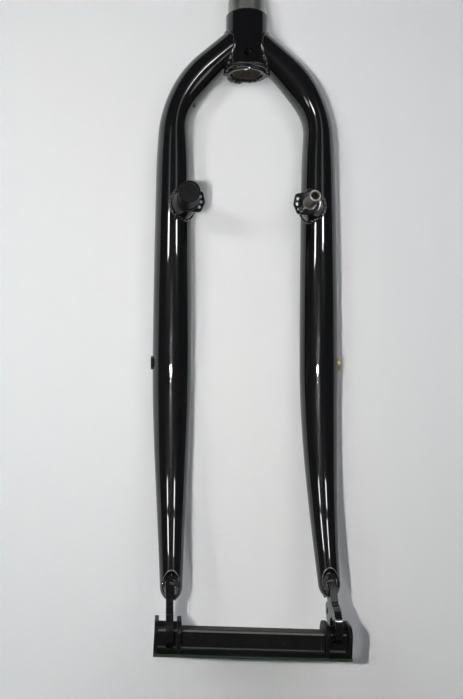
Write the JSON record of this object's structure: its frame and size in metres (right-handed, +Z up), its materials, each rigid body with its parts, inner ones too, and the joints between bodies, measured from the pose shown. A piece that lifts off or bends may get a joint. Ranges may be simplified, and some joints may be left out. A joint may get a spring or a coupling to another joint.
{
  "type": "bicycle fork",
  "caption": "Rigid welded steel bicycle fork with curved-in blades, stud brake bosses, rack eyelets and slotted dropouts held apart by a moulded axle spacer.",
  "frame": {"origin": "on the steering axis at the crown race shoulder, where the lower headset race rests", "axes": "+Z up along the steerer, -Y the front of the fork where the brake studs point, +X to the right seen from the front"},
  "size_m": [0.1318, 0.0786, 0.6329],
  "materials": {
    "bare_steel": "brushed",
    "black_paint": "gloss",
    "stud_steel": "satin",
    "eyelet_metal": "gloss",
    "cap_plastic": "satin",
    "spacer_plastic": "satin"
  },
  "bodies": {
    "root": {"steerer_tube": "bare_steel", "left_blade": "black_paint", "right_blade": "black_paint", "left_crown_weld": "black_paint", "right_crown_weld": "black_paint", "left_dropout": "black_paint", "right_dropout": "black_paint", "left_dropout_weld": "black_paint", "right_dropout_weld": "black_paint", "left_boss_base": "black_paint", "right_boss_base": "black_paint", "left_spring_plate": "black_paint", "right_spring_plate": "black_paint", "left_brake_stud": "stud_steel", "right_brake_stud": "stud_steel", "left_rack_eyelet": "eyelet_metal", "right_rack_eyelet": "eyelet_metal", "left_stud_cap": "cap_plastic", "dropout_spacer": "spacer_plastic"}
  },
  "joints": []
}
